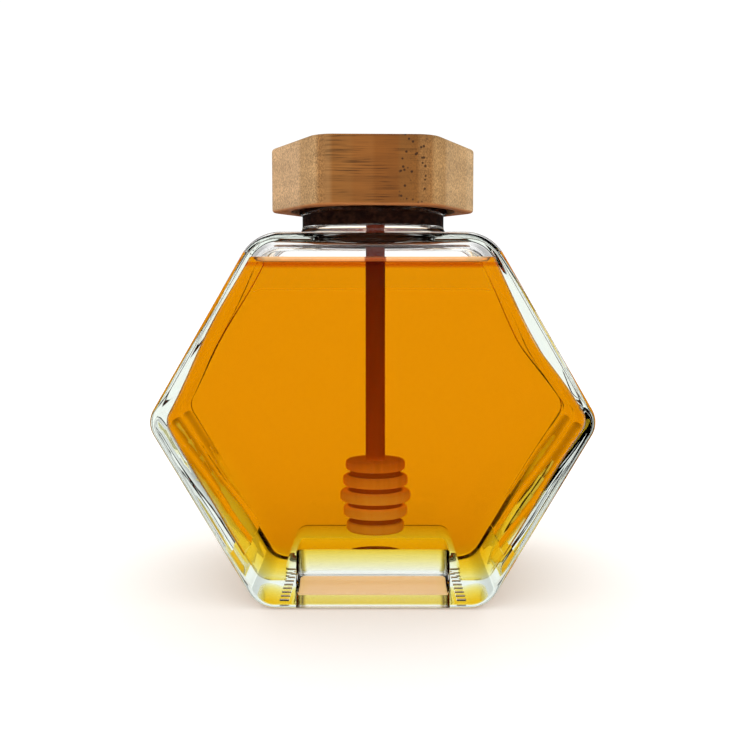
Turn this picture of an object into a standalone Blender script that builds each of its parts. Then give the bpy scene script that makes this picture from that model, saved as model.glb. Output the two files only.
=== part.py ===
"""Hexagonal glass jar of honey, with a wooden dipper through its stopper and a bamboo lid.

Metres, +Z up. The front of the jar faces -Y, and the origin is under the middle of its base.
Run with: blender --background --python part.py
"""

import math

import bmesh
import bpy
from mathutils import Matrix

# Glass body: a hexagon that stands on one of its flats, drawn out along Y. Corners are given before rounding.
BODY_HEIGHT = 0.1031
BODY_HALF_WIDTH = 0.0616
BODY_FLAT_HALF = 0.0316       # half of the top flat, and of the base
BODY_DEPTH = 0.057
SIDE_CORNER_RADIUS = 0.007
SHOULDER_CORNER_RADIUS = 0.012
BASE_CORNER_RADIUS = 0.009
BODY_RADII = (BASE_CORNER_RADIUS, SIDE_CORNER_RADIUS, SHOULDER_CORNER_RADIUS)
RIM_RADIUS = 0.002            # rounding round the front and back faces

# Cavity: a like hexagon inside. The walls are even above, and thicken towards the base.
FACE_WALL = 0.0045
SIDE_WALL = 0.0031            # along X, between the side corners
CEILING_WALL = 0.0022
BASE_WALL = 0.0066
CAVITY_TOP_HALF = 0.031
CAVITY_BASE_HALF = 0.0316
CAVITY_SIDE_RADIUS = 0.005
CAVITY_SHOULDER_RADIUS = 0.009
CAVITY_BASE_RADIUS = 0.005
CAVITY_RIM_RADIUS = 0.003
CAVITY_RADII = (CAVITY_BASE_RADIUS, CAVITY_SIDE_RADIUS, CAVITY_SHOULDER_RADIUS)

# Punt: the base is pushed up into a vaulted block, with a recess of the same form below it.
# Both ends stand upright, then lean in by LEAN from the level to a slightly crowned top.
PUNT_HALF_WIDTH = 0.0244
PUNT_HALF_DEPTH = 0.0253      # runs on past the cavity's walls
PUNT_SPRING = 0.0062          # where its ends begin to turn in
PUNT_SWING = 0.007            # radius of that turn
PUNT_LEAN = math.radians(26)
PUNT_TOP = 0.0137
PUNT_EDGE_RADIUS = 0.004
RECESS_HALF_WIDTH = 0.0222
RECESS_HALF_DEPTH = 0.0125
RECESS_SPRING = 0.0046
RECESS_SWING = 0.003
RECESS_LEAN = math.radians(50)
RECESS_TOP = 0.012
RECESS_EDGE_RADIUS = 0.0015
CROWN = 0.0003                # how far the middle of both tops rises above their front and back

# Grip grooves moulded in the bearing surface, in a row on each side of the recess
GROOVE_COUNT = 9
GROOVE_PITCH = 0.0042
GROOVE_WIDTH = 0.0021
GROOVE_LENGTH = 0.0026
GROOVE_DEPTH = 0.00035
GROOVE_CENTRE = 0.0250

# Neck
NECK_RADIUS = 0.02125
NECK_ROOT_RADIUS = 0.003
BEAD_RADIUS = 0.0227
BEAD_BOTTOM = 0.1092
MOUTH_HEIGHT = 0.115
BORE_RADIUS = 0.0176

# Contents and closure
GAP = 0.0003                  # clearance between pieces that touch
HONEY_LEVEL = 0.095
STOPPER_BOTTOM = 0.1052
STOPPER_TAPER = 0.0004
LID_CIRCUMRADIUS = 0.0315
LID_BOTTOM = 0.1103
LID_TOP = 0.129
LID_CORNER_RADIUS = 0.0072
LID_EDGE_RADIUS = 0.0008
LID_RECESS_RADIUS = 0.0245
LID_TURN = math.radians(1.5)  # the lid sits a touch twisted on the neck

# Dipper: a straight rod with a head of five turned discs
ROD_RADIUS = 0.00285
DISC_RADII = (0.0085, 0.00945, 0.0104, 0.00955, 0.00875)   # from the bottom up
DISC_PITCH = 0.00454
DISC_THICKNESS = 0.0031
DISC_EDGE_RADIUS = 0.001
FIRST_DISC_HEIGHT = 0.0177
CORE_RADIUS = 0.0074
DIPPER_ASIDE = 0.0007         # it stands a touch to the right of the middle

ROUND_STEPS = 44
DIPPER_STEPS = 26


def new_material(name, colour, roughness, transmission=0.0, ior=1.5):
    """A Principled material in one plain finish."""
    made = bpy.data.materials.new(name)
    made.use_nodes = True
    shader = made.node_tree.nodes["Principled BSDF"]
    shader.inputs["Base Color"].default_value = (*colour, 1.0)
    shader.inputs["Roughness"].default_value = roughness
    shader.inputs["Metallic"].default_value = 0.0
    shader.inputs["Transmission Weight"].default_value = transmission
    shader.inputs["IOR"].default_value = ior
    return made


def new_object(name, mesh, collection):
    made = bpy.data.objects.new(name, mesh)
    collection.objects.link(made)
    return made


def object_from_bmesh(name, bm, collection):
    mesh = bpy.data.meshes.new(name)
    bmesh.ops.triangulate(bm, faces=bm.faces[:])      # a rounded corner's faces aren't quite flat
    bmesh.ops.recalc_face_normals(bm, faces=bm.faces[:])
    bm.to_mesh(mesh)
    bm.free()
    return new_object(name, mesh, collection)


def hexagon(half_width, top_half, base_half, top, base, inset=0.0):
    """Corners (x, z) of an outline, right side first, going up. inset moves every side in by that much."""
    half_corner = math.radians(30)
    level = inset * math.tan(half_corner)
    side_z = BODY_HEIGHT / 2
    right = [(base_half - level, base + inset), (half_width - inset / math.cos(half_corner), side_z),
             (top_half - level, top - inset)]
    return right + [(-x, z) for x, z in reversed(right)]


def body_outline():
    return hexagon(BODY_HALF_WIDTH, BODY_FLAT_HALF, BODY_FLAT_HALF, BODY_HEIGHT, 0.0)


def cavity_outline(inset=0.0):
    return hexagon(BODY_HALF_WIDTH - SIDE_WALL, CAVITY_TOP_HALF, CAVITY_BASE_HALF,
                   BODY_HEIGHT - CEILING_WALL, BASE_WALL, inset)


def is_across(edge):
    """True for an edge that runs along Y, from the front outline to the back one."""
    first, second = edge.verts
    return abs(first.co.y - second.co.y) > 0.9 * abs((first.co - second.co).length) > 0


def corner_bevel(bm, edges, radius, segments):
    """Rounds edges where two faces meet at 120 degrees: a rounding takes tan(30) of its radius from each."""
    bmesh.ops.bevel(bm, geom=edges, offset=radius * math.tan(math.radians(30)), offset_type="OFFSET",
                    segments=segments, profile=0.5, affect="EDGES")


def hexagonal_block(name, corners, depth, radii, rim_radius, collection):
    """The outline drawn out along Y. radii rounds the base, side and top corners, rim_radius both faces."""
    bm = bmesh.new()
    outline = [bm.verts.new((x, -depth / 2, z)) for x, z in corners]
    drawn = bmesh.ops.extrude_face_region(bm, geom=[bm.faces.new(outline)])["geom"]
    back = [v for v in drawn if isinstance(v, bmesh.types.BMVert)]
    bmesh.ops.translate(bm, verts=back, vec=(0, depth, 0))
    for (_, height), radius in zip(corners, radii):
        level = [e for e in bm.edges if is_across(e) and abs(e.verts[0].co.z - height) < 1e-6]
        corner_bevel(bm, level, radius, 4)
    rims = [e for e in bm.edges if abs(abs(e.verts[0].co.y) - depth / 2) < 1e-6
            and abs(e.verts[0].co.y - e.verts[1].co.y) < 1e-6]
    bmesh.ops.bevel(bm, geom=rims, offset=rim_radius, offset_type="OFFSET",
                    segments=4, profile=0.5, affect="EDGES")
    return object_from_bmesh(name, bm, collection)


def vaulted_block(name, half_width, half_depth, spring, swing, lean, top, edge_radius, bottom, collection):
    """A block whose upright ends turn in to a lean and then to a crowned top, drawn out along X."""
    turns = [math.pi + (lean - math.pi / 2) * i / 4 for i in range(5)]
    end = [(-half_depth + swing * (1 + math.cos(t)), spring + swing * math.sin(t)) for t in turns]
    crease = end[-1][0] + (top - CROWN - end[-1][1]) / math.tan(lean)
    crown = [(crease * (1 - i / 3), top - CROWN * (1 - i / 3) ** 2) for i in range(4)]
    near = [(-half_depth, bottom)] + end + crown
    side = [(-y, z) for y, z in near[:-1]] + near[::-1]
    bm = bmesh.new()
    outline = [bm.verts.new((-half_width, y, z)) for y, z in side]
    drawn = bmesh.ops.extrude_face_region(bm, geom=[bm.faces.new(outline)])["geom"]
    far_side = [v for v in drawn if isinstance(v, bmesh.types.BMVert)]
    bmesh.ops.translate(bm, verts=far_side, vec=(2 * half_width, 0, 0))
    floor = bottom + 1e-7
    sharp = [e for e in bm.edges if max(v.co.z for v in e.verts) > floor
             and len(e.link_faces) == 2 and e.calc_face_angle() > math.radians(60)]
    bmesh.ops.bevel(bm, geom=sharp, offset=edge_radius, offset_type="OFFSET",
                    segments=3, profile=0.5, affect="EDGES")
    return object_from_bmesh(name, bm, collection)


def turned(name, profile, steps, collection, closed=False):
    """A profile of (radius, height) points, turned once round Z. It runs down its outer side."""
    mesh = bpy.data.meshes.new(name)
    count = len(profile)
    edges = [(i, i + 1) for i in range(count - 1)] + ([(count - 1, 0)] if closed else [])
    mesh.from_pydata([(r, 0.0, z) for r, z in profile], edges, [])
    made = new_object(name, mesh, collection)
    screw = made.modifiers.new("Turn", "SCREW")
    screw.axis = "Z"
    screw.steps = screw.render_steps = steps
    screw.use_merge_vertices = True
    screw.merge_threshold = 0.00001
    screw.use_smooth_shade = True
    return made


def quarter(centre_r, centre_z, radius, start, end, steps):
    """Points (radius, height) on an arc, by degrees from +r towards +z."""
    angles = [math.radians(start + (end - start) * i / steps) for i in range(steps + 1)]
    return [(centre_r + radius * math.cos(a), centre_z + radius * math.sin(a)) for a in angles]


def boolean(target, other, operation):
    modifier = target.modifiers.new(f"{operation.title()} {other.name}", "BOOLEAN")
    modifier.operation = operation
    modifier.object = other
    modifier.solver = "EXACT"


def neck_profile():
    """The solid neck, root to mouth, from the top centre down its outer side. The bore is cut later."""
    bead_middle = (BEAD_BOTTOM + MOUTH_HEIGHT) / 2
    bead_half = (MOUTH_HEIGHT - BEAD_BOTTOM) / 2
    bulge = BEAD_RADIUS - NECK_RADIUS
    bead = [(NECK_RADIUS + bulge * math.cos(a), bead_middle + bead_half * math.sin(a))
            for a in (math.radians(d) for d in (66, 45, 22, 0, -22, -45, -66, -88))]
    root_top = BODY_HEIGHT + NECK_ROOT_RADIUS
    root = quarter(NECK_RADIUS + NECK_ROOT_RADIUS, root_top, NECK_ROOT_RADIUS, 180, 262, 4)
    sunk = BODY_HEIGHT - CEILING_WALL / 2
    rim = [(0.0, MOUTH_HEIGHT), (NECK_RADIUS - 0.001, MOUTH_HEIGHT)]
    return rim + bead + root + [(root[-1][0], sunk), (0.0, sunk)]


def bore_profile():
    """What is taken out of the neck, with the mouth's inner edge eased."""
    ease = 0.0012
    above = MOUTH_HEIGHT + 0.002
    below = BODY_HEIGHT - CEILING_WALL - 0.001
    return [(0.0, above), (BORE_RADIUS + ease, above), (BORE_RADIUS + ease, MOUTH_HEIGHT),
            (BORE_RADIUS + ease * 0.3, MOUTH_HEIGHT - ease * 0.3), (BORE_RADIUS, MOUTH_HEIGHT - ease),
            (BORE_RADIUS, BODY_HEIGHT - CEILING_WALL / 2), (BORE_RADIUS + ease, below), (0.0, below)]


def groove_cutter(collection):
    """All the grip grooves as one mesh of short bars that don't touch."""
    bm = bmesh.new()
    for side in (-1, 1):
        for i in range(GROOVE_COUNT):
            along = (i - (GROOVE_COUNT - 1) / 2) * GROOVE_PITCH
            bar = bmesh.ops.create_cube(bm, size=1.0)["verts"]
            bmesh.ops.scale(bm, verts=bar, vec=(GROOVE_LENGTH, GROOVE_WIDTH, 2 * GROOVE_DEPTH))
            bmesh.ops.translate(bm, verts=bar, vec=(side * GROOVE_CENTRE, along, 0))
    return object_from_bmesh("GrooveCutter", bm, collection)


def make_jar(parts, cutters):
    outer = hexagonal_block("jar", body_outline(), BODY_DEPTH, BODY_RADII, RIM_RADIUS, parts)
    cavity = hexagonal_block("CavityCutter", cavity_outline(), BODY_DEPTH - 2 * FACE_WALL, CAVITY_RADII,
                             CAVITY_RIM_RADIUS, cutters)
    punt = vaulted_block("PuntForm", PUNT_HALF_WIDTH, PUNT_HALF_DEPTH, PUNT_SPRING, PUNT_SWING, PUNT_LEAN,
                         PUNT_TOP, PUNT_EDGE_RADIUS, 0.0, cutters)
    boolean(cavity, punt, "DIFFERENCE")
    recess = vaulted_block("RecessCutter", RECESS_HALF_WIDTH, RECESS_HALF_DEPTH, RECESS_SPRING, RECESS_SWING,
                           RECESS_LEAN, RECESS_TOP, RECESS_EDGE_RADIUS, -0.002, cutters)
    boolean(outer, turned("NeckForm", neck_profile(), ROUND_STEPS, cutters), "UNION")
    boolean(outer, groove_cutter(cutters), "DIFFERENCE")
    boolean(outer, recess, "DIFFERENCE")
    boolean(outer, cavity, "DIFFERENCE")
    boolean(outer, turned("BoreCutter", bore_profile(), ROUND_STEPS, cutters), "DIFFERENCE")
    outer.data.materials.append(new_material("Clear glass", (0.97, 1.0, 0.98), 0.02, 1.0, 1.52))
    return outer


def dipper_profile(swell=0.0, top=MOUTH_HEIGHT):
    """The dipper from its top centre down to its foot. swell makes it fatter, for the hole that it needs."""
    rod, core = ROD_RADIUS + swell, CORE_RADIUS + swell
    half = DISC_THICKNESS / 2 + swell
    points = [(0.0, top), (rod, top)]
    last = len(DISC_RADII) - 1
    for i in range(last, -1, -1):
        middle = FIRST_DISC_HEIGHT + i * DISC_PITCH
        edge = DISC_EDGE_RADIUS + swell
        outer = DISC_RADII[i] + swell - edge
        inner = rod if i == last else core
        points.append((inner, middle + half))
        points += quarter(outer, middle + half - edge, edge, 90, 0, 2)
        points += quarter(outer, middle - half + edge, edge, 0, -90, 2)
        if i:
            points.append((core, middle - half))
    return points + [(0.0, FIRST_DISC_HEIGHT - half)]


def make_honey(parts, cutters):
    honey = hexagonal_block("honey", cavity_outline(GAP), BODY_DEPTH - 2 * (FACE_WALL + GAP), CAVITY_RADII,
                            CAVITY_RIM_RADIUS, parts)
    punt = vaulted_block("PuntClearance", PUNT_HALF_WIDTH + GAP, PUNT_HALF_DEPTH + GAP, PUNT_SPRING,
                         PUNT_SWING + GAP, PUNT_LEAN, PUNT_TOP + GAP, PUNT_EDGE_RADIUS, 0.0, cutters)
    boolean(honey, punt, "DIFFERENCE")
    bm = bmesh.new()
    size = 2 * BODY_HALF_WIDTH
    bmesh.ops.create_cube(bm, size=size)
    bmesh.ops.translate(bm, verts=bm.verts[:], vec=(0, 0, HONEY_LEVEL + size / 2))
    boolean(honey, object_from_bmesh("AboveHoney", bm, cutters), "DIFFERENCE")
    hole = turned("DipperClearance", dipper_profile(GAP, HONEY_LEVEL + 0.003), DIPPER_STEPS, cutters)
    hole.location.x = DIPPER_ASIDE
    boolean(honey, hole, "DIFFERENCE")
    honey.data.materials.append(new_material("Honey", (0.85, 0.42, 0.03), 0.05, 0.8, 1.49))
    return honey


def make_dipper(parts):
    dipper = turned("dipper", dipper_profile(), DIPPER_STEPS, parts)
    dipper.location.x = DIPPER_ASIDE
    dipper.data.materials.append(new_material("Beech", (0.62, 0.38, 0.18), 0.6))
    return dipper


def make_stopper(parts, cutters):
    """A tapered ring round the rod, from just inside the neck up to the lid."""
    top_radius = BORE_RADIUS - GAP
    ease = 0.0008
    profile = [(0.0, MOUTH_HEIGHT), (top_radius, MOUTH_HEIGHT),
               (top_radius - STOPPER_TAPER, STOPPER_BOTTOM + ease),
               (top_radius - STOPPER_TAPER - ease, STOPPER_BOTTOM), (0.0, STOPPER_BOTTOM)]
    stopper = turned("stopper", profile, ROUND_STEPS, parts)
    radius, above, below = ROD_RADIUS + GAP, MOUTH_HEIGHT + 0.002, STOPPER_BOTTOM - 0.002
    hole = turned("RodClearance", [(0.0, above), (radius, above), (radius, below), (0.0, below)],
                  DIPPER_STEPS, cutters)
    hole.location.x = DIPPER_ASIDE
    boolean(stopper, hole, "DIFFERENCE")
    stopper.data.materials.append(new_material("Dark cork", (0.10, 0.045, 0.02), 0.85))
    return stopper


def make_lid(parts, cutters):
    """A six-sided bamboo cap with two flats square to Y, and a round recess that drops over the mouth."""
    bm = bmesh.new()
    height = LID_TOP - LID_BOTTOM
    bmesh.ops.create_cone(bm, cap_ends=True, segments=6, radius1=LID_CIRCUMRADIUS,
                          radius2=LID_CIRCUMRADIUS, depth=height)
    bmesh.ops.rotate(bm, verts=bm.verts[:], matrix=Matrix.Rotation(math.radians(30), 3, "Z"))
    bmesh.ops.translate(bm, verts=bm.verts[:], vec=(0, 0, (LID_TOP + LID_BOTTOM) / 2))
    upright = [e for e in bm.edges if abs(e.verts[0].co.z - e.verts[1].co.z) > height / 2]
    corner_bevel(bm, upright, LID_CORNER_RADIUS, 4)
    level = [e for e in bm.edges if abs(e.verts[0].co.z - e.verts[1].co.z) < 1e-7]
    bmesh.ops.bevel(bm, geom=level, offset=LID_EDGE_RADIUS, offset_type="OFFSET",
                    segments=2, profile=0.5, affect="EDGES")
    lid = object_from_bmesh("lid", bm, parts)
    ceiling = MOUTH_HEIGHT + GAP
    below = LID_BOTTOM - 0.002
    recess = turned("LidRecessCutter", [(0.0, ceiling), (LID_RECESS_RADIUS, ceiling),
                                        (LID_RECESS_RADIUS, below), (0.0, below)], ROUND_STEPS, cutters)
    boolean(lid, recess, "DIFFERENCE")
    lid.rotation_euler.z = LID_TURN
    lid.data.materials.append(new_material("Bamboo", (0.55, 0.34, 0.16), 0.5))
    return lid


def main():
    for old in list(bpy.data.objects):
        bpy.data.objects.remove(old)
    scene = bpy.context.scene
    parts = bpy.data.collections.new("Hexagonal honey jar")
    cutters = bpy.data.collections.new("Cutters")
    scene.collection.children.link(parts)
    scene.collection.children.link(cutters)
    make_jar(parts, cutters)
    make_honey(parts, cutters)
    make_dipper(parts)
    make_stopper(parts, cutters)
    make_lid(parts, cutters)
    for cutter in cutters.objects:
        cutter.hide_render = True
        cutter.display_type = "WIRE"
    for part in parts.objects:
        part.data.shade_smooth()
        part.data.set_sharp_from_angle(angle=math.radians(35))


main()
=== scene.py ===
import math

import bmesh
import bpy
from mathutils import Matrix, Vector


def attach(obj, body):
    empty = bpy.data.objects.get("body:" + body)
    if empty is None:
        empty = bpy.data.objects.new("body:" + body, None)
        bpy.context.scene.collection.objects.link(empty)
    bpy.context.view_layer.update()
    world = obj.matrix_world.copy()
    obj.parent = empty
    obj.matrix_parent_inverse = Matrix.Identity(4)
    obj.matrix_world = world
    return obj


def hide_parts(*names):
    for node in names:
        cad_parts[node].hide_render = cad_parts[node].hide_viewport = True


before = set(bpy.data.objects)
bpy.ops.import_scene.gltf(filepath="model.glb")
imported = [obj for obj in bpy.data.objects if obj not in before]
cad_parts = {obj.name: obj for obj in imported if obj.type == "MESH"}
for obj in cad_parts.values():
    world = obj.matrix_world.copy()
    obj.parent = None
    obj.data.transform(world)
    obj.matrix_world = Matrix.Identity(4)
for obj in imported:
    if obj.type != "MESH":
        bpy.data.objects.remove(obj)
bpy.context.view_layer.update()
mm = 0.001


cameraSetup = {
    "place": (0.6, -228.5, 90.7),       # mm from the middle of the jar's foot
    "tiltDown": 3.5,                    # degrees
    "lens": 36.0,
    "sensor": 36.0,
    "shiftUp": -0.068,
}


def makeCamera(setup):
    data = bpy.data.cameras.new("Camera")
    data.lens, data.sensor_width = setup["lens"], setup["sensor"]
    data.shift_y = setup["shiftUp"]
    data.clip_start = 0.01
    camera = bpy.data.objects.new("Camera", data)
    bpy.context.scene.collection.objects.link(camera)
    camera.location = Vector(setup["place"]) * mm
    camera.rotation_euler = (math.radians(90 - setup["tiltDown"]), 0, 0)
    bpy.context.scene.camera = camera


makeCamera(cameraSetup)
print("camera placed")


def newPiece(name, bm, material, smoothAngle=40, weighted=False):
    bmesh.ops.scale(bm, verts=bm.verts[:], vec=(mm, mm, mm))      # pieces are drawn in millimetres
    mesh = bpy.data.meshes.new(name)
    bm.to_mesh(mesh)
    bm.free()
    mesh.materials.append(material)
    mesh.shade_smooth()
    mesh.set_sharp_from_angle(angle=math.radians(smoothAngle))
    piece = bpy.data.objects.new(name, mesh)
    bpy.context.scene.collection.objects.link(piece)
    if weighted:                        # flats stay flat, only the roundings bend the light
        modifier = piece.modifiers.new("FlatNormals", "WEIGHTED_NORMAL")
        modifier.weight = 100
        modifier.keep_sharp = True
    return piece


def vertsOf(geom):
    return [g for g in geom if isinstance(g, bmesh.types.BMVert)]


def edgesOf(geom):
    return [g for g in geom if isinstance(g, bmesh.types.BMEdge)]


# points (place, outward) round a polygon of (x, z) corners, anticlockwise, with its corners rounded
def roundedOutline(corners, radii, arcSteps, straightSteps):
    points, count = [], len(corners)
    corners = [Vector(c) for c in corners]
    for i, (corner, radius) in enumerate(zip(corners, radii)):
        into = (corner - corners[i - 1]).normalized()
        away = (corners[(i + 1) % count] - corner).normalized()
        turn = math.atan2(into.x * away.y - into.y * away.x, into.dot(away))
        outward = Vector((into.y, -into.x))
        back = radius * math.tan(abs(turn) / 2)
        centre = corner - into * back - outward * math.copysign(radius, turn)
        for step in range(arcSteps + 1):
            side = outward.copy()
            side.rotate(Matrix.Rotation(turn * step / arcSteps, 2))
            points.append((centre + side * math.copysign(radius, turn), side))
        following, reach = corners[(i + 1) % count], radii[(i + 1) % count]
        beyond = (corners[(i + 2) % count] - following).normalized()
        bend = abs(math.atan2(away.x * beyond.y - away.y * beyond.x, away.dot(beyond)))
        start, end = corner + away * back, following - away * reach * math.tan(bend / 2)
        side = Vector((away.y, -away.x))
        points += [(start.lerp(end, step / straightSteps), side) for step in range(1, straightSteps)]
    return points


# draws the outline out along Y and rounds its rims; push shifts a side wall outwards by place
def drawnBlock(bm, outline, halfDepth, rimRadius, rimSteps, depthSteps, grow=0.0, push=None):
    stations = []
    for i in range(rimSteps + 1):
        turn = math.radians(90 * i / rimSteps)
        stations.append((-halfDepth + rimRadius * (1 - math.sin(turn)), rimRadius * (1 - math.cos(turn))))
    stations.reverse()
    half = halfDepth - rimRadius
    stations += [(-half + 2 * half * i / depthSteps, 0.0) for i in range(1, depthSteps)]
    stations += [(-y, inset) for y, inset in reversed(stations[:rimSteps + 1])]
    ring = [bm.verts.new((0, 0, 0)) for _ in outline]
    edges = [bm.edges.new((ring[i - 1], ring[i])) for i in range(len(ring))]
    first, columns = edges, [ring]
    for _ in stations[1:]:
        grown = bmesh.ops.extrude_edge_only(bm, edges=edges)["geom"]
        edges = edgesOf(grown)
        follow = {}
        for vert in vertsOf(grown):
            for edge in vert.link_edges:
                other = edge.other_vert(vert)
                if edge not in edges:
                    follow[other] = vert
        columns.append([follow[v] for v in columns[-1]])
    for (y, inset), column in zip(stations, columns):
        for (place, side), vert in zip(outline, column):
            spot = place + side * (grow - inset)
            if push:
                sideways = min(1.0, max(0.0, abs(side.x) * 2 - 0.5))       # floor and ceiling stay even
                spot = spot + side * push(spot.x, y, spot.y) * sideways
            vert.co = (spot.x, y, spot.y)
    bmesh.ops.contextual_create(bm, geom=first)
    bmesh.ops.contextual_create(bm, geom=edges)
    bmesh.ops.recalc_face_normals(bm, faces=bm.faces[:])


def openFlat(bm, height):                # takes away the level face at that height and gives its rim
    flat = [f for f in bm.faces if abs(f.calc_center_median().z - height) < 1e-4 and abs(f.normal.z) > 0.99]
    rim = [e for f in flat for e in f.edges if sum(g in flat for g in e.link_faces) == 1]
    bmesh.ops.delete(bm, geom=flat, context="FACES_ONLY")
    return rim


def startRing(bm, radiusX, radiusY, height, steps):
    ring = bmesh.ops.create_circle(bm, cap_ends=False, segments=steps, radius=1.0)["verts"]
    bmesh.ops.scale(bm, verts=ring, vec=(radiusX, radiusY, 1))
    bmesh.ops.translate(bm, verts=ring, vec=(0, 0, height))
    return list({e for v in ring for e in v.link_edges})


# rings are (radiusX, radiusY, height), and the first is where the edges lie now
def growRings(bm, edges, rings):
    for (oldX, oldY, oldZ), (newX, newY, newZ) in zip(rings, rings[1:]):
        grown = bmesh.ops.extrude_edge_only(bm, edges=edges)["geom"]
        verts, edges = vertsOf(grown), edgesOf(grown)
        bmesh.ops.scale(bm, verts=verts, vec=(newX / oldX, newY / oldY, 1))
        bmesh.ops.translate(bm, verts=verts, vec=(0, 0, newZ - oldZ))
    return edges


def arc(centreR, centreZ, radius, start, end, steps):
    angles = [math.radians(start + (end - start) * i / steps) for i in range(steps + 1)]
    return [(centreR + radius * math.cos(a), centreZ + radius * math.sin(a)) for a in angles]


def newMaterial(name, roughness, specular=0.5):
    material = bpy.data.materials.new(name)
    material.use_nodes = True
    nodes, links = material.node_tree.nodes, material.node_tree.links
    shader = nodes["Principled BSDF"]
    shader.inputs["Roughness"].default_value = roughness
    shader.inputs["Specular IOR Level"].default_value = specular
    return material, nodes, links, shader


def feed(links, socket, value):
    if isinstance(value, bpy.types.NodeSocket):
        links.new(value, socket)
    elif isinstance(value, tuple):
        socket.default_value = (*value, 1) if len(value) == 3 and socket.type == "RGBA" else value
    else:
        socket.default_value = value


def maths(nodes, links, operation, first, second=0.0):
    node = nodes.new("ShaderNodeMath")
    node.operation = operation
    feed(links, node.inputs[0], first)
    feed(links, node.inputs[1], second)
    return node.outputs["Value"]


def ranged(nodes, links, value, fromMin, fromMax, toMin=0.0, toMax=1.0, smooth=False):
    node = nodes.new("ShaderNodeMapRange")
    node.interpolation_type = "SMOOTHSTEP" if smooth else "LINEAR"
    for name, setting in (("Value", value), ("From Min", fromMin), ("From Max", fromMax),
                          ("To Min", toMin), ("To Max", toMax)):
        feed(links, node.inputs[name], setting)
    return node.outputs["Result"]


def product(nodes, links, first, second):
    return maths(nodes, links, "MULTIPLY", first, second)


def mixed(nodes, links, factor, first, second, blend="MIX"):
    node = nodes.new("ShaderNodeMix")
    node.data_type, node.blend_type = "RGBA", blend
    feed(links, node.inputs["Factor"], factor)
    feed(links, node.inputs["A"], first)
    feed(links, node.inputs["B"], second)
    return node.outputs["Result"]


def placeOf(nodes, links, scale=(1, 1, 1), turn=(0, 0, 0), shift=(0, 0, 0)):
    place = nodes.new("ShaderNodeTexCoord")
    mapping = nodes.new("ShaderNodeMapping")
    mapping.inputs["Scale"].default_value = scale
    mapping.inputs["Rotation"].default_value = turn
    mapping.inputs["Location"].default_value = shift
    links.new(place.outputs["Object"], mapping.inputs["Vector"])
    return mapping.outputs["Vector"]


def axesOf(nodes, links, vector):
    split = nodes.new("ShaderNodeSeparateXYZ")
    links.new(vector, split.inputs["Vector"])
    return split.outputs["X"], split.outputs["Y"], split.outputs["Z"]


def noise(nodes, links, vector, detail=2.0, rough=0.5, distort=0.0):
    node = nodes.new("ShaderNodeTexNoise")
    node.inputs["Scale"].default_value = 1.0
    node.inputs["Detail"].default_value = detail
    node.inputs["Roughness"].default_value = rough
    node.inputs["Distortion"].default_value = distort
    links.new(vector, node.inputs["Vector"])
    return node.outputs["Fac"]


def ramp(nodes, links, value, stops):
    node = nodes.new("ShaderNodeValToRGB")
    elements = node.color_ramp.elements
    while len(elements) < len(stops):
        elements.new(0.5)
    for element, (position, colour) in zip(elements, stops):
        element.position, element.color = position, (*colour, 1)
    feed(links, node.inputs["Fac"], value)
    return node.outputs["Color"]


def byHeight(nodes, links, z, stops):    # stops are (height in mm, colour)
    low, high = stops[0][0], stops[-1][0]
    return ramp(nodes, links, ranged(nodes, links, z, low * mm, high * mm),
                [((height - low) / (high - low), colour) for height, colour in stops])


def between(nodes, links, value, start, end, soft):      # 1 from start to end (mm), with a soft edge at both
    return product(nodes, links, ranged(nodes, links, value, (start - soft) * mm, (start + soft) * mm),
                   ranged(nodes, links, value, (end - soft) * mm, (end + soft) * mm, 1.0, 0.0))


jar = {
    "outer": [(-31.6, 0), (31.6, 0), (61.6, 51.55), (31.6, 103.1), (-31.6, 103.1), (-61.6, 51.55)],
    "outerRadii": [9, 9, 7, 12, 12, 7],
    "height": 103.1, "halfDepth": 28.5, "rimRadius": 2.0,
    "cavity": [(-31.0, 6.6), (32.0, 6.6), (59.2, 51.2), (46.0, 70.2), (30.8, 100.9),
               (-31.2, 100.9), (-47.7, 70.2), (-57.6, 51.2)],
    "cavityRadii": [5, 5, 5, 40, 9, 9, 40, 5],
    "ceiling": 100.9, "cavityHalfDepth": 24.0, "cavityRimRadius": 3.0,
    "neckRadius": 21.25, "rootX": 24.2, "rootY": 23.9, "rootHeight": 3.0,
    "beadRadius": 22.7, "beadBottom": 109.2, "mouth": 115.0, "boreRadius": 17.6,
    "flareX": 2.0, "flareY": 1.8, "flareHeight": 1.8,
    "ringSteps": 96,
    "mouthRadius": 1.2, "beadTurn": 160, "flareTurn": 80,
    "punt": {"halfWidth": 24.4, "halfDepth": 25.3, "spring": 6.2, "swing": 7.0, "lean": 26, "top": 13.7,
             "crown": 0.3, "edge": 4.0, "foot": 4.6},
    "recess": {"halfWidth": 22.2, "halfDepth": 12.5, "spring": 4.6, "swing": 3.0, "lean": 50, "top": 12.0,
               "crown": 0.3, "edge": 1.5, "foot": -2.0},
    "grooves": {"count": 9, "pitch": 4.2, "width": 2.1, "length": 2.6, "depth": 0.35, "centre": 25.0},
}
glassLook = {"ior": 1.52, "tint": (0.80, 0.865, 0.82), "density": 24.0}
honeyIor = 1.50
contactLevel = 96.5                      # how high the honey wets the glass
film = {                                 # the thin skin where honey and glass overlap
    "ior": 1.42,
    "matched": 0.884,                    # wet value at which honey and glass bend light alike
    "matchedBelow": 12, "weak": 0.94, "weakBelow": 20, "fullAbove": 55,
}
wave = {"deep": 0.35, "fine": 0.2, "deepPitch": 0.33, "finePitch": 0.13, "climb": 0.11, "twist": 1.7,
        "right": 2.0}


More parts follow.
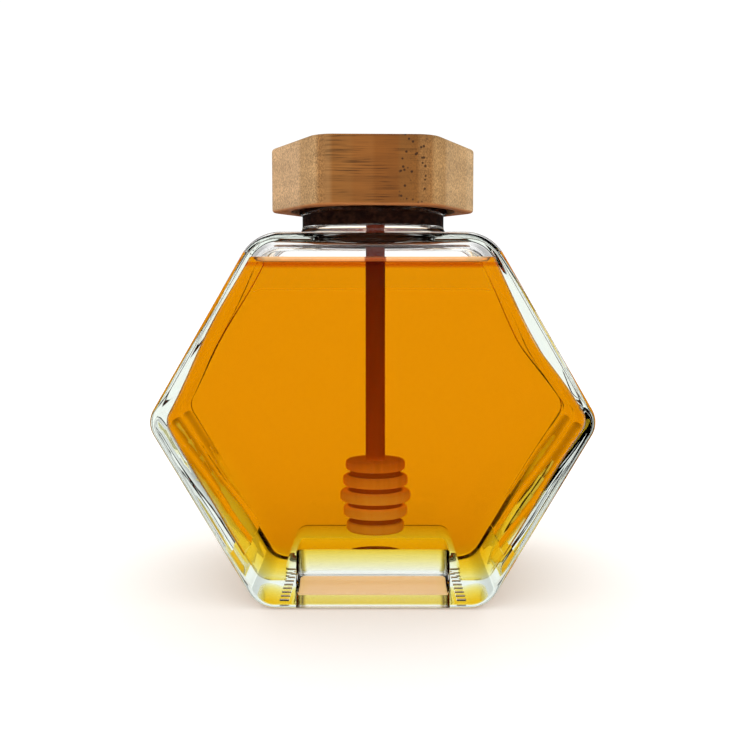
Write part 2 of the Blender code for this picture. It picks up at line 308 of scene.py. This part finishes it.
# a clear body that takes light away by depth; the wet attribute is 1 where honey meets glass
def clearMaterial(name, look, wetIor):
    material, nodes, links, shader = newMaterial(name, 0.0)
    shader.inputs["Base Color"].default_value = (1, 1, 1, 1)
    shader.inputs["Transmission Weight"].default_value = 1.0
    shader.inputs["IOR"].default_value = look["ior"]
    volume = nodes.new("ShaderNodeVolumeAbsorption")
    volume.inputs["Color"].default_value = (*look["tint"], 1)
    volume.inputs["Density"].default_value = look["density"]
    links.new(volume.outputs["Volume"], nodes["Material Output"].inputs["Volume"])
    wet = nodes.new("ShaderNodeAttribute")
    wet.attribute_name = "wet"
    links.new(ranged(nodes, links, wet.outputs["Fac"], 0.0, 1.0, look["ior"], wetIor), shader.inputs["IOR"])
    return material, nodes, links, shader


def glassMaterial(look):
    return clearMaterial("clearGlass", look, film["ior"] / honeyIor)[0]


def wallWave(x, y, z):                   # the blown inner walls aren't quite even
    along = z * wave["climb"] + (wave["right"] if x > 0 else 0.0)
    return (wave["deep"] * math.sin(y * wave["deepPitch"] + along)
            + wave["fine"] * math.sin(y * wave["finePitch"] - along * wave["twist"]))


def wetAt(height):                       # the skin thins out towards the foot
    if height < film["matchedBelow"]:
        return film["matched"]
    climbed = max(0.0, height - film["weakBelow"]) / (film["fullAbove"] - film["weakBelow"])
    return min(1.0, film["weak"] + (1 - film["weak"]) * climbed)


def cavityBlock(form, grow):
    bm = bmesh.new()
    wetLayer = bm.faces.layers.float.new("wet")
    outline = roundedOutline(form["cavity"], form["cavityRadii"], 8, 8)
    drawnBlock(bm, outline, form["cavityHalfDepth"] + grow, form["cavityRimRadius"] + grow, 8, 16,
               grow=grow, push=wallWave)
    bmesh.ops.bisect_plane(bm, geom=bm.verts[:] + bm.edges[:] + bm.faces[:], plane_co=(0, 0, contactLevel),
                           plane_no=(0, 0, 1))
    for face in bm.faces:
        height = face.calc_center_median().z
        face[wetLayer] = 0.0 if height > contactLevel else wetAt(height)
    return bm


def vault(form, grow=0.0, wet=0.0):      # its top is a vault along Y
    bm = bmesh.new()
    wetLayer = bm.faces.layers.float.new("wet")
    reach, swing, top = form["halfDepth"] + grow, form["swing"] + grow, form["top"] + grow
    front = arc(swing - reach, form["spring"], swing, 180, 90 + form["lean"], 10)
    lastY, lastZ = front[-1]
    creaseZ = top - form["crown"]
    creaseY = lastY + (creaseZ - lastZ) / math.tan(math.radians(form["lean"]))
    crown = [(creaseY * (1 - i / 6), top + (creaseZ - top) * (1 - i / 6) ** 2) for i in range(7)]
    side = [(-reach, form["foot"])] + front + crown
    side += [(-y, z) for y, z in reversed(side[:-1])]
    width = form["halfWidth"] + grow
    end = bm.faces.new([bm.verts.new((-width, y, z)) for y, z in side])
    drawn = bmesh.ops.extrude_face_region(bm, geom=[end])
    bmesh.ops.translate(bm, verts=vertsOf(drawn["geom"]), vec=(2 * width, 0, 0))
    bmesh.ops.recalc_face_normals(bm, faces=bm.faces[:])
    sharp = [e for e in bm.edges if max(v.co.z for v in e.verts) > form["foot"] + 0.01
             and e.calc_face_angle(0) > math.radians(60)]
    bmesh.ops.bevel(bm, geom=sharp, offset=form["edge"] + grow, offset_type="OFFSET", segments=6, profile=0.5,
                    affect="EDGES", material=-1)
    for face in bm.faces:
        face[wetLayer] = wet
    return bm


def gripBars(form):
    bm = bmesh.new()
    bm.faces.layers.float.new("wet")
    for side in (-1, 1):
        for i in range(form["count"]):
            bar = bmesh.ops.create_cube(bm, size=1)["verts"]
            bmesh.ops.scale(bm, verts=bar, vec=(form["length"], form["width"], 2 * form["depth"]))
            y = (i - (form["count"] - 1) / 2) * form["pitch"]
            bmesh.ops.translate(bm, verts=bar, vec=(side * form["centre"], y, 0))
    return bm


def carved(bm, cutter, operation):
    objects = []
    for part in (bm, cutter):
        mesh = bpy.data.meshes.new("rough")
        part.to_mesh(mesh)
        part.free()
        objects.append(bpy.data.objects.new("rough", mesh))
        bpy.context.scene.collection.objects.link(objects[-1])
    body, tool = objects
    modifier = body.modifiers.new("Carve", "BOOLEAN")
    modifier.object, modifier.operation, modifier.solver = tool, operation, "EXACT"
    result = body.evaluated_get(bpy.context.evaluated_depsgraph_get()).to_mesh()
    bm = bmesh.new()
    bm.from_mesh(result)
    for rough in objects:
        mesh = rough.data
        bpy.data.objects.remove(rough)
        bpy.data.meshes.remove(mesh)
    return bm


def joined(bm, other):
    scratch = bpy.data.meshes.new("scratch")
    other.to_mesh(scratch)
    other.free()
    bm.from_mesh(scratch)
    bpy.data.meshes.remove(scratch)


def makeJar(form, material):
    bm = bmesh.new()
    bm.faces.layers.float.new("wet")
    top, neck, root, bore = form["height"], form["neckRadius"], form["rootHeight"], form["boreRadius"]
    outline = roundedOutline(form["outer"], form["outerRadii"], 10, 8)
    drawnBlock(bm, outline, form["halfDepth"], form["rimRadius"], 8, 12)
    shoulderRim = openFlat(bm, top)
    rings = []
    for i in range(9):                   # concave root of the neck, from the shoulder up
        turn = math.radians(90 * i / 8)
        spread = 1 - math.sin(turn)
        rings.append((neck + (form["rootX"] - neck) * spread, neck + (form["rootY"] - neck) * spread,
                      top + root * (1 - math.cos(turn))))
    beadMiddle, beadHalf = (form["beadBottom"] + form["mouth"]) / 2, (form["mouth"] - form["beadBottom"]) / 2
    bulge = form["beadRadius"] - neck
    for i in range(9):                   # the bead round the mouth
        turn = math.radians(-90 + form["beadTurn"] * i / 8)
        r = neck + bulge * max(0.0, math.cos(turn))
        rings.append((r, r, beadMiddle + beadHalf * math.sin(turn)))
    rings.append((neck - 1, neck - 1, form["mouth"]))
    lip = form["mouthRadius"]
    rings += [(r, r, z) for r, z in arc(bore + lip, form["mouth"] - lip, lip, 90, 180, 4)]
    for i in range(9):                   # the bore opens out into the hollow, more to the sides
        turn = math.radians(form["flareTurn"] * i / 8)
        spread = 1 - math.cos(turn)
        rings.append((bore + form["flareX"] * spread, bore + form["flareY"] * spread,
                      form["ceiling"] + form["flareHeight"] * (1 - math.sin(turn))))
    startEdges = startRing(bm, *rings[0], form["ringSteps"])
    growRings(bm, startEdges, rings)
    bmesh.ops.bridge_loops(bm, edges=shoulderRim + startEdges)
    joined(bm, cavityBlock(form, 0.0))
    ceilingRim = openFlat(bm, form["ceiling"])
    boreRim = [e for e in bm.edges if e.is_boundary and e not in ceilingRim]
    bmesh.ops.bridge_loops(bm, edges=ceilingRim + boreRim)
    bmesh.ops.recalc_face_normals(bm, faces=bm.faces[:])
    bm = carved(bm, vault(form["punt"], wet=film["matched"]), "UNION")
    bm = carved(bm, vault(form["recess"]), "DIFFERENCE")
    bm = carved(bm, gripBars(form["grooves"]), "DIFFERENCE")
    return newPiece("glassJar", bm, material, smoothAngle=35, weighted=True)


honey = {
    "level": 95.0, "reach": 0.25,        # it reaches this far into the glass, so that no air gap shows
    # how the surface climbs the glass: mm from the wall, and the share of the climb
    "meniscus": [(0, 1), (0.3, 0.99), (0.5, 0.9), (0.9, 0.6), (1.3, 0.3), (1.7, 0.1), (2.2, 0.02), (2.8, 0),
                 (4.0, 0), (7.0, 0)],
    "rodRadius": 2.85, "rodAside": 0.7, "rodRise": 0.9, "rodFall": 0.9,
    "collar": (7.0, 4.5, 3.0, 2.0, 1.4, 0.9, 0.5, 0.2, -0.3),              # mm out from the rod
}
honeyLook = {
    "ior": honeyIor, "tint": (0.9544, 0.8307, 0.0), "density": 170.0,
    # painted shade: heights (mm) and tints that darken the honey where the surface bends down from the glass
    "surface": [(93.6, (1, 1, 1)), (94.2, (0.78, 0.42, 0.15)), (94.95, (0.66, 0.27, 0.08)),
                (95.2, (1, 1, 1))],
    # painted light: heights (mm) and glow where it climbs as a thin skin, standing in for light that the
    # underside of the surface mirrors; along the front but not before the rod
    "paintedBand": [(95.1, (0, 0, 0)), (95.35, (0.33, 0.16, 0.05)), (96.3, (0.46, 0.29, 0.15)),
             (96.5, (0.46, 0.29, 0.15))],
    "paintedBandEnds": (29, 32), "rodAside": 0.7, "rodEdge": (2.7, 3.1), "beforeRod": 0.12,
}


def honeyMaterial(look):
    material, nodes, links, shader = clearMaterial("clearHoney", look, film["ior"] / glassLook["ior"])
    x, _, z = axesOf(nodes, links, placeOf(nodes, links))
    # painted shade: a darker band in the honey where its surface meets the glass
    links.new(byHeight(nodes, links, z, look["surface"]), shader.inputs["Base Color"])
    # painted light: the pale band glows by emission, fading at the ends and weaker in front of the rod
    links.new(byHeight(nodes, links, z, look["paintedBand"]), shader.inputs["Emission Color"])
    (full, gone), (near, far) = look["paintedBandEnds"], look["rodEdge"]
    ends = ranged(nodes, links, maths(nodes, links, "ABSOLUTE", x), full * mm, gone * mm, 1.0, 0.0)
    fromRod = maths(nodes, links, "ABSOLUTE", maths(nodes, links, "SUBTRACT", x, look["rodAside"] * mm))
    beside = ranged(nodes, links, fromRod, near * mm, far * mm, look["beforeRod"], 1.0)
    links.new(product(nodes, links, ends, beside), shader.inputs["Emission Strength"])
    return material


def makeHoney(form, glass, material):
    reach = form["reach"]
    bm = cavityBlock(glass, reach)
    bmesh.ops.bisect_plane(bm, geom=bm.verts[:] + bm.edges[:] + bm.faces[:], plane_co=(0, 0, contactLevel),
                           plane_no=(0, 0, 1), clear_outer=True)
    rim = [e for e in bm.edges if e.is_boundary]
    halfX = max(v.co.x for e in rim for v in e.verts)
    halfY = max(v.co.y for e in rim for v in e.verts)
    rings = [(halfX - inward, halfY - inward, form["level"] + (contactLevel - form["level"]) * part)
             for inward, part in form["meniscus"]]
    last = growRings(bm, rim, rings)
    rod = form["rodRadius"]
    collar = [(rod + out, form["level"] + form["rodRise"] * math.exp(-out / form["rodFall"]))
              for out in form["collar"]]
    collar = [(r, r, z) for r, z in collar]
    start = startRing(bm, *collar[0], 48)
    inner = growRings(bm, start, collar)
    near = [v for v in bm.verts if v.co.z > form["level"] - 1
            and math.hypot(v.co.x, v.co.y) < collar[0][0] + 0.01]
    bmesh.ops.translate(bm, verts=near, vec=(form["rodAside"], 0, 0))
    bmesh.ops.contextual_create(bm, geom=inner)
    bmesh.ops.bridge_loops(bm, edges=last + start)
    bmesh.ops.recalc_face_normals(bm, faces=bm.faces[:])
    bm = carved(bm, vault(glass["punt"], grow=-reach, wet=film["matched"]), "DIFFERENCE")
    return newPiece("honeyFill", bm, material, smoothAngle=35, weighted=True)


dipper = {
    "rodRadius": 2.85, "top": 114.5, "coreRadius": 7.4, "aside": 0.7,
    "discRadii": (8.5, 9.45, 10.4, 9.55, 8.75), "pitch": 4.54, "thickness": 3.1, "edge": 1.0, "first": 17.7,
}


# the profile is (radius, height); what lies within asideRadius is moved along X
def turnedPiece(name, profile, steps, material, closed=False, aside=0.0, asideRadius=100.0):
    bm = bmesh.new()
    verts = [bm.verts.new((r, 0, z)) for r, z in profile]
    edges = [bm.edges.new(pair) for pair in zip(verts, verts[1:] + (verts[:1] if closed else []))]
    bmesh.ops.spin(bm, geom=verts + edges, cent=(0, 0, 0), axis=(0, 0, 1), angle=math.tau, steps=steps,
                   use_merge=True)
    bmesh.ops.remove_doubles(bm, verts=bm.verts[:], dist=1e-4)
    bmesh.ops.recalc_face_normals(bm, faces=bm.faces[:])
    moved = [v for v in bm.verts if math.hypot(v.co.x, v.co.y) < asideRadius]
    bmesh.ops.translate(bm, verts=moved, vec=(aside, 0, 0))
    return newPiece(name, bm, material, smoothAngle=40)


dipperLook = {
    # on the head and on the rod; it stands in for the light that cloudy honey scatters
    "glow": (0.32, 0.07), "glowHeights": (37.4, 39),
    # painted shade: the gaps between the discs are darker: the radii and heights between which that ends
    "aside": 0.7, "gap": (0.35, 0.09, 0.02), "paintedShadeRadii": (7.6, 8.6), "paintedShadeHeights": (36.0, 36.2),
    # heights (mm) and base colours, darker towards the top
    "toneByHeight": [(15, (0.95, 0.52, 0.30)), (26, (0.90, 0.44, 0.22)), (34, (0.80, 0.30, 0.11)),
              (38, (0.66, 0.20, 0.07)), (60, (0.50, 0.13, 0.04)), (90, (0.34, 0.075, 0.02)),
              (95, (0.30, 0.05, 0.01)), (97, (0.26, 0.024, 0.003))],
    "grain": (700, 160, 45), "roughness": 0.6, "specular": 0.1,
}


def dipperMaterial(look):
    material, nodes, links, shader = newMaterial("turnedBeech", look["roughness"], look["specular"])
    x, y, z = axesOf(nodes, links, placeOf(nodes, links, shift=(-look["aside"] * mm, 0, 0)))
    grain = noise(nodes, links, placeOf(nodes, links, scale=look["grain"]), detail=3.0)
    shade = ranged(nodes, links, grain, 0.3, 0.7, 0.9, 1.06)
    colour = mixed(nodes, links, 1.0, byHeight(nodes, links, z, look["toneByHeight"]), shade, "MULTIPLY")
    span = maths(nodes, links, "SQRT", maths(nodes, links, "ADD", product(nodes, links, x, x),
                                             product(nodes, links, y, y)))
    # painted shade: darkens the gaps between the discs, inside the disc rims and below the top disc
    (inner, outer), (under, over) = look["paintedShadeRadii"], look["paintedShadeHeights"]
    gap = product(nodes, links, ranged(nodes, links, span, inner * mm, outer * mm, 1.0, 0.0),
                  ranged(nodes, links, z, under * mm, over * mm, 1.0, 0.0))
    colour = mixed(nodes, links, gap, colour, look["gap"])
    links.new(colour, shader.inputs["Base Color"])
    links.new(colour, shader.inputs["Emission Color"])
    under, over = look["glowHeights"]
    glow = ranged(nodes, links, z, under * mm, over * mm, *look["glow"])
    links.new(glow, shader.inputs["Emission Strength"])
    return material


def makeDipper(form, material):
    half, edge = form["thickness"] / 2, form["edge"]
    profile = [(0, form["top"]), (form["rodRadius"], form["top"])]
    last = len(form["discRadii"]) - 1
    for i in range(last, -1, -1):
        middle = form["first"] + i * form["pitch"]
        outer = form["discRadii"][i] - edge
        profile.append((form["rodRadius"] if i == last else form["coreRadius"], middle + half))
        profile += arc(outer, middle + half - edge, edge, 90, 0, 4)
        profile += arc(outer, middle - half + edge, edge, 0, -90, 4)
        if i:
            profile.append((form["coreRadius"], middle - half))
    profile.append((0, form["first"] - half))
    return turnedPiece("honeyDipper", profile, 64, material, aside=form["aside"])


cork = {"profile": [(3.0, 115.0), (17.75, 115.0), (17.75, 105.9), (17.1, 105.2), (3.0, 105.2)]}
corkLook = {"dark": (0.030, 0.008, 0.004), "pale": (0.10, 0.036, 0.018), "cells": (500, 500, 700),
            "roughness": 0.9, "specular": 0.1}


def corkMaterial(look):
    material, nodes, links, shader = newMaterial("darkCork", look["roughness"], look["specular"])
    cells = noise(nodes, links, placeOf(nodes, links, scale=look["cells"]), detail=4.0, rough=0.65)
    links.new(mixed(nodes, links, ranged(nodes, links, cells, 0.42, 0.7), look["dark"], look["pale"]),
              shader.inputs["Base Color"])
    return material


lid = {"circumradius": 31.5, "bottom": 110.3, "top": 129.0, "cornerRadius": 7.2, "edgeRadius": 0.8,
       "recessRadius": 24.5, "recessTop": 115.3, "recessRound": 0.5, "turn": 1.5}
bambooLook = {
    # strips glued side by side: where each ends along X (mm) and its base colour; the paler outer strips, on
    # the side faces, are partly painted light from the sides
    "stripsAndSideLight": [(-26.9, (0.594, 0.367, 0.187)), (-20.2, (0.576, 0.359, 0.185)), (-14.9, (0.476, 0.277, 0.118)),
               (-11.1, (0.350, 0.164, 0.049)), (-5.4, (0.292, 0.110, 0.020)), (0.3, (0.279, 0.097, 0.0155)),
               (3.7, (0.251, 0.081, 0.010)), (7.0, (0.243, 0.079, 0.010)), (12.3, (0.244, 0.091, 0.015)),
               (16.2, (0.310, 0.140, 0.0375)), (20.2, (0.443, 0.243, 0.0865)), (27.4, (0.524, 0.320, 0.144)),
               (30.6, (0.580, 0.375, 0.185))],
    "reach": 30.6, "soft": 1.2,
    "streaks": (70, 70, 2300), "streaksStart": (-14.0, -12.0), "streaksEnd": (7.0, 18.0),
    "under": (0.55, 0.20, 0.06),         # painted light: the underside's colour, tinted as if lit by the honey
    "speckle": 2600,
    "dots": 760, "dotsFrom": 7.0, "dotsTo": 14.5, "dotColour": (0.04, 0.014, 0.005), "dotDepth": 0.85,
    "bump": 0.25, "bumpDepth": 0.05, "roughness": 0.55, "specular": 0.2,
}


def bambooMaterial(look):
    material, nodes, links, shader = newMaterial("bamboo", look["roughness"], look["specular"])
    x, _, _ = axesOf(nodes, links, placeOf(nodes, links))
    reach, soft = look["reach"], look["soft"]
    # strip tones, partly painted light: paler towards and on the side faces
    stops, start = [], -reach
    for end, colour in look["stripsAndSideLight"]:
        stops += [((place + reach) / (2 * reach), colour) for place in (start + soft / 2, end - soft / 2)]
        start = end
    colour = ramp(nodes, links, ranged(nodes, links, x, -reach * mm, reach * mm), stops)
    (none, full), (still, gone) = look["streaksStart"], look["streaksEnd"]
    longGrain = product(nodes, links, ranged(nodes, links, x, none * mm, full * mm),
                        ranged(nodes, links, x, still * mm, gone * mm, 1.0, 0.0))
    fibres = noise(nodes, links, placeOf(nodes, links, scale=look["streaks"]), detail=3.0, rough=0.6)
    patchy = noise(nodes, links, placeOf(nodes, links, scale=(130, 130, 210), shift=(5, 2, 3)))
    patch = ranged(nodes, links, patchy, 0.42, 0.60)
    streak = mixed(nodes, links, patch, ranged(nodes, links, fibres, 0.34, 0.54, 0.40, 1.1),
                   ranged(nodes, links, fibres, 0.3, 0.6, 0.90, 1.06))
    clouds = noise(nodes, links, placeOf(nodes, links, scale=(60, 60, 260), shift=(3, 1, 7)))
    broad = ranged(nodes, links, clouds, 0.3, 0.7, 0.90, 1.12)
    fine = look["speckle"]
    pores = noise(nodes, links, placeOf(nodes, links, scale=(fine, fine, fine * 0.7), turn=(0.35, 0.6, 0.0)),
                  detail=2.0, rough=0.6, distort=0.8)
    speckle = ranged(nodes, links, pores, 0.38, 0.62, 0.64, 1.30)
    grain = mixed(nodes, links, longGrain, speckle, streak)
    colour = mixed(nodes, links, 1.0, colour, grain, "MULTIPLY")
    colour = mixed(nodes, links, 1.0, colour, broad, "MULTIPLY")
    bundles = nodes.new("ShaderNodeTexVoronoi")
    bundles.inputs["Scale"].default_value = 1.0
    links.new(placeOf(nodes, links, scale=(look["dots"], 40, look["dots"])), bundles.inputs["Vector"])
    dot = ranged(nodes, links, bundles.outputs["Distance"], 0.20, 0.32, look["dotDepth"], 0.0)
    dot = product(nodes, links, dot, between(nodes, links, x, look["dotsFrom"], look["dotsTo"], 0.4))
    colour = mixed(nodes, links, dot, colour, look["dotColour"])
    facing = nodes.new("ShaderNodeTexCoord")
    _, _, up = axesOf(nodes, links, facing.outputs["Normal"])
    # painted light: faces that point down take the honey-lit underside colour
    under = ranged(nodes, links, up, -0.2, -0.9)
    colour = mixed(nodes, links, under, colour, look["under"])
    links.new(colour, shader.inputs["Base Color"])
    bump = nodes.new("ShaderNodeBump")
    bump.inputs["Strength"].default_value = look["bump"]
    bump.inputs["Distance"].default_value = look["bumpDepth"] * mm
    links.new(grain, bump.inputs["Height"])
    links.new(bump.outputs["Normal"], shader.inputs["Normal"])
    return material


def makeLid(form, material):
    bm = bmesh.new()
    height = form["top"] - form["bottom"]
    bmesh.ops.create_cone(bm, cap_ends=True, segments=6, radius1=form["circumradius"],
                          radius2=form["circumradius"], depth=height)
    bmesh.ops.rotate(bm, verts=bm.verts[:], matrix=Matrix.Rotation(math.radians(30), 3, "Z"))
    upright = [e for e in bm.edges if abs(e.verts[0].co.z - e.verts[1].co.z) > height / 2]
    bmesh.ops.bevel(bm, geom=upright, offset=form["cornerRadius"] * math.tan(math.radians(30)),
                    offset_type="OFFSET", segments=10, profile=0.5, affect="EDGES", material=-1)
    level = [e for e in bm.edges if abs(e.verts[0].co.z - e.verts[1].co.z) < 1e-4]
    bmesh.ops.bevel(bm, geom=level, offset=form["edgeRadius"], offset_type="OFFSET",
                    segments=4, profile=0.5, affect="EDGES", material=-1)
    bmesh.ops.translate(bm, verts=bm.verts[:], vec=(0, 0, (form["top"] + form["bottom"]) / 2))
    rim = openFlat(bm, form["bottom"])
    r, bend = form["recessRadius"], form["recessRound"]
    rings = [(r + bend, form["bottom"]), (r + 0.3 * bend, form["bottom"] + 0.3 * bend),
             (r, form["bottom"] + bend), (r, form["recessTop"] - 0.6 * bend),
             (r - 0.6 * bend, form["recessTop"])]
    rings = [(a, a, z) for a, z in rings]
    start = startRing(bm, *rings[0], 72)
    last = growRings(bm, start, rings)
    bmesh.ops.bridge_loops(bm, edges=rim + start)
    bmesh.ops.contextual_create(bm, geom=last)
    bmesh.ops.recalc_face_normals(bm, faces=bm.faces[:])
    bmesh.ops.rotate(bm, verts=bm.verts[:], matrix=Matrix.Rotation(math.radians(form["turn"]), 3, "Z"))
    return newPiece("bambooLid", bm, material, smoothAngle=40, weighted=True)


tentLight = {
    "walls": 1.08, "opening": 0.85,      # the opening in front is dimmer
    "wide": 0.75, "low": -0.95, "high": 0.45, "soft": 0.35,
    "behind": 0.155, "behindFrom": 0.75, "behindTo": 0.85,                 # added on the back wall
    "sides": 0.55, "sidesFrom": 0.2, "sidesTo": 0.6,                       # for what the glass bends
    "seen": 1.05, "mirrored": 0.02,      # for the camera, and for the glass, which mirrors next to nothing
}
floorLook = {
    "size": 6000, "colour": (0.92, 0.92, 0.91), "roughness": 0.9, "gap": 0.05, "glow": (0.26, 0.25, 0.24),
    # light that the honey lets through: |x| and |y| (mm) where a pool is full and where it ends, its colour
    "pools": [(30, 130, 20, 75, (0.27, 0.22, 0.155)), (18, 26, 19, 22, (0.80, 0.46, 0.02)),
              (18, 26, 13, 15, (0.72, 0.42, 0.18))],
}


def mirrorRay(nodes, links):             # 1 for what the glass mirrors
    path = nodes.new("ShaderNodeLightPath")
    return product(nodes, links, path.outputs["Is Reflection Ray"], path.outputs["Is Glossy Ray"])


def makeFloor(look):
    bm = bmesh.new()
    bmesh.ops.create_grid(bm, x_segments=1, y_segments=1, size=look["size"])
    material, nodes, links, shader = newMaterial("paleFloor", look["roughness"], specular=0.0)
    shader.inputs["Base Color"].default_value = (*look["colour"], 1)
    shader.inputs["Emission Strength"].default_value = 1.0
    x, y, _ = axesOf(nodes, links, placeOf(nodes, links))
    x, y = (maths(nodes, links, "ABSOLUTE", value) for value in (x, y))
    colour = look["glow"]
    for nearX, farX, nearY, farY, tone in look["pools"]:
        area = product(nodes, links, ranged(nodes, links, x, nearX * mm, farX * mm, 1.0, 0.0, smooth=True),
                       ranged(nodes, links, y, nearY * mm, farY * mm, 1.0, 0.0, smooth=True))
        colour = mixed(nodes, links, area, colour, tone)
    links.new(colour, shader.inputs["Emission Color"])
    dark = nodes.new("ShaderNodeEmission")
    dark.inputs["Strength"].default_value = 0.0
    mix = nodes.new("ShaderNodeMixShader")
    links.new(mirrorRay(nodes, links), mix.inputs["Fac"])
    links.new(shader.outputs["BSDF"], mix.inputs[1])
    links.new(dark.outputs["Emission"], mix.inputs[2])
    links.new(mix.outputs["Shader"], nodes["Material Output"].inputs["Surface"])
    bmesh.ops.translate(bm, verts=bm.verts[:], vec=(0, 0, -look["gap"]))
    newPiece("floor", bm, material)


def makeWorld(light):                    # a white tent with a dimmer opening in front
    world = bpy.data.worlds.new("World")
    bpy.context.scene.world = world
    world.use_nodes = True
    nodes, links = world.node_tree.nodes, world.node_tree.links
    sky = nodes["Background"]
    coordinates = nodes.new("ShaderNodeTexCoord")
    x, y, z = axesOf(nodes, links, coordinates.outputs["Generated"])
    ahead = maths(nodes, links, "MAXIMUM", maths(nodes, links, "MULTIPLY", y, -1.0), 0.001)
    aside = maths(nodes, links, "ABSOLUTE", maths(nodes, links, "DIVIDE", x, ahead))
    height = maths(nodes, links, "DIVIDE", z, ahead)
    soft = light["soft"]
    opening = ranged(nodes, links, aside, light["wide"] - soft, light["wide"], 1.0, 0.0, smooth=True)
    for edge, ends in ((light["low"], (0.0, 1.0)), (light["high"] - soft, (1.0, 0.0))):
        opening = product(nodes, links, opening,
                          ranged(nodes, links, height, edge, edge + soft, *ends, smooth=True))
    level = ranged(nodes, links, opening, 0.0, 1.0, light["walls"], light["opening"])
    behind = ranged(nodes, links, y, light["behindFrom"], light["behindTo"], 0.0, light["behind"])
    level = maths(nodes, links, "ADD", level, behind)
    path = nodes.new("ShaderNodeLightPath")
    across = maths(nodes, links, "ABSOLUTE", x)
    bent = product(nodes, links, path.outputs["Is Transmission Ray"],
                   ranged(nodes, links, across, light["sidesFrom"], light["sidesTo"]))
    for ray, value in ((bent, light["sides"]), (path.outputs["Is Camera Ray"], light["seen"]),
                       (mirrorRay(nodes, links), light["mirrored"])):
        mix = nodes.new("ShaderNodeMix")
        mix.inputs["B"].default_value = value
        links.new(ray, mix.inputs["Factor"])
        links.new(level, mix.inputs["A"])
        level = mix.outputs["Result"]
    links.new(level, sky.inputs["Strength"])
    sky.inputs["Color"].default_value = (1, 1, 1, 1)


bpy.context.scene.view_settings.view_transform = "Standard"
makeFloor(floorLook)
makeWorld(tentLight)
print("floor and light set")

glassPiece = makeJar(jar, glassMaterial(glassLook))
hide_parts("jar")
honeyPiece = makeHoney(honey, jar, honeyMaterial(honeyLook))
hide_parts("honey")
dipperPiece = makeDipper(dipper, dipperMaterial(dipperLook))
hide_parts("dipper")
corkPiece = turnedPiece("corkStopper", cork["profile"], 96, corkMaterial(corkLook), closed=True,
                        aside=dipper["aside"], asideRadius=3.5)
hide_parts("stopper")
lidPiece = makeLid(lid, bambooMaterial(bambooLook))
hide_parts("lid")
for piece in (glassPiece, honeyPiece, dipperPiece, corkPiece, lidPiece):
    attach(piece, "root")
print("pieces made")
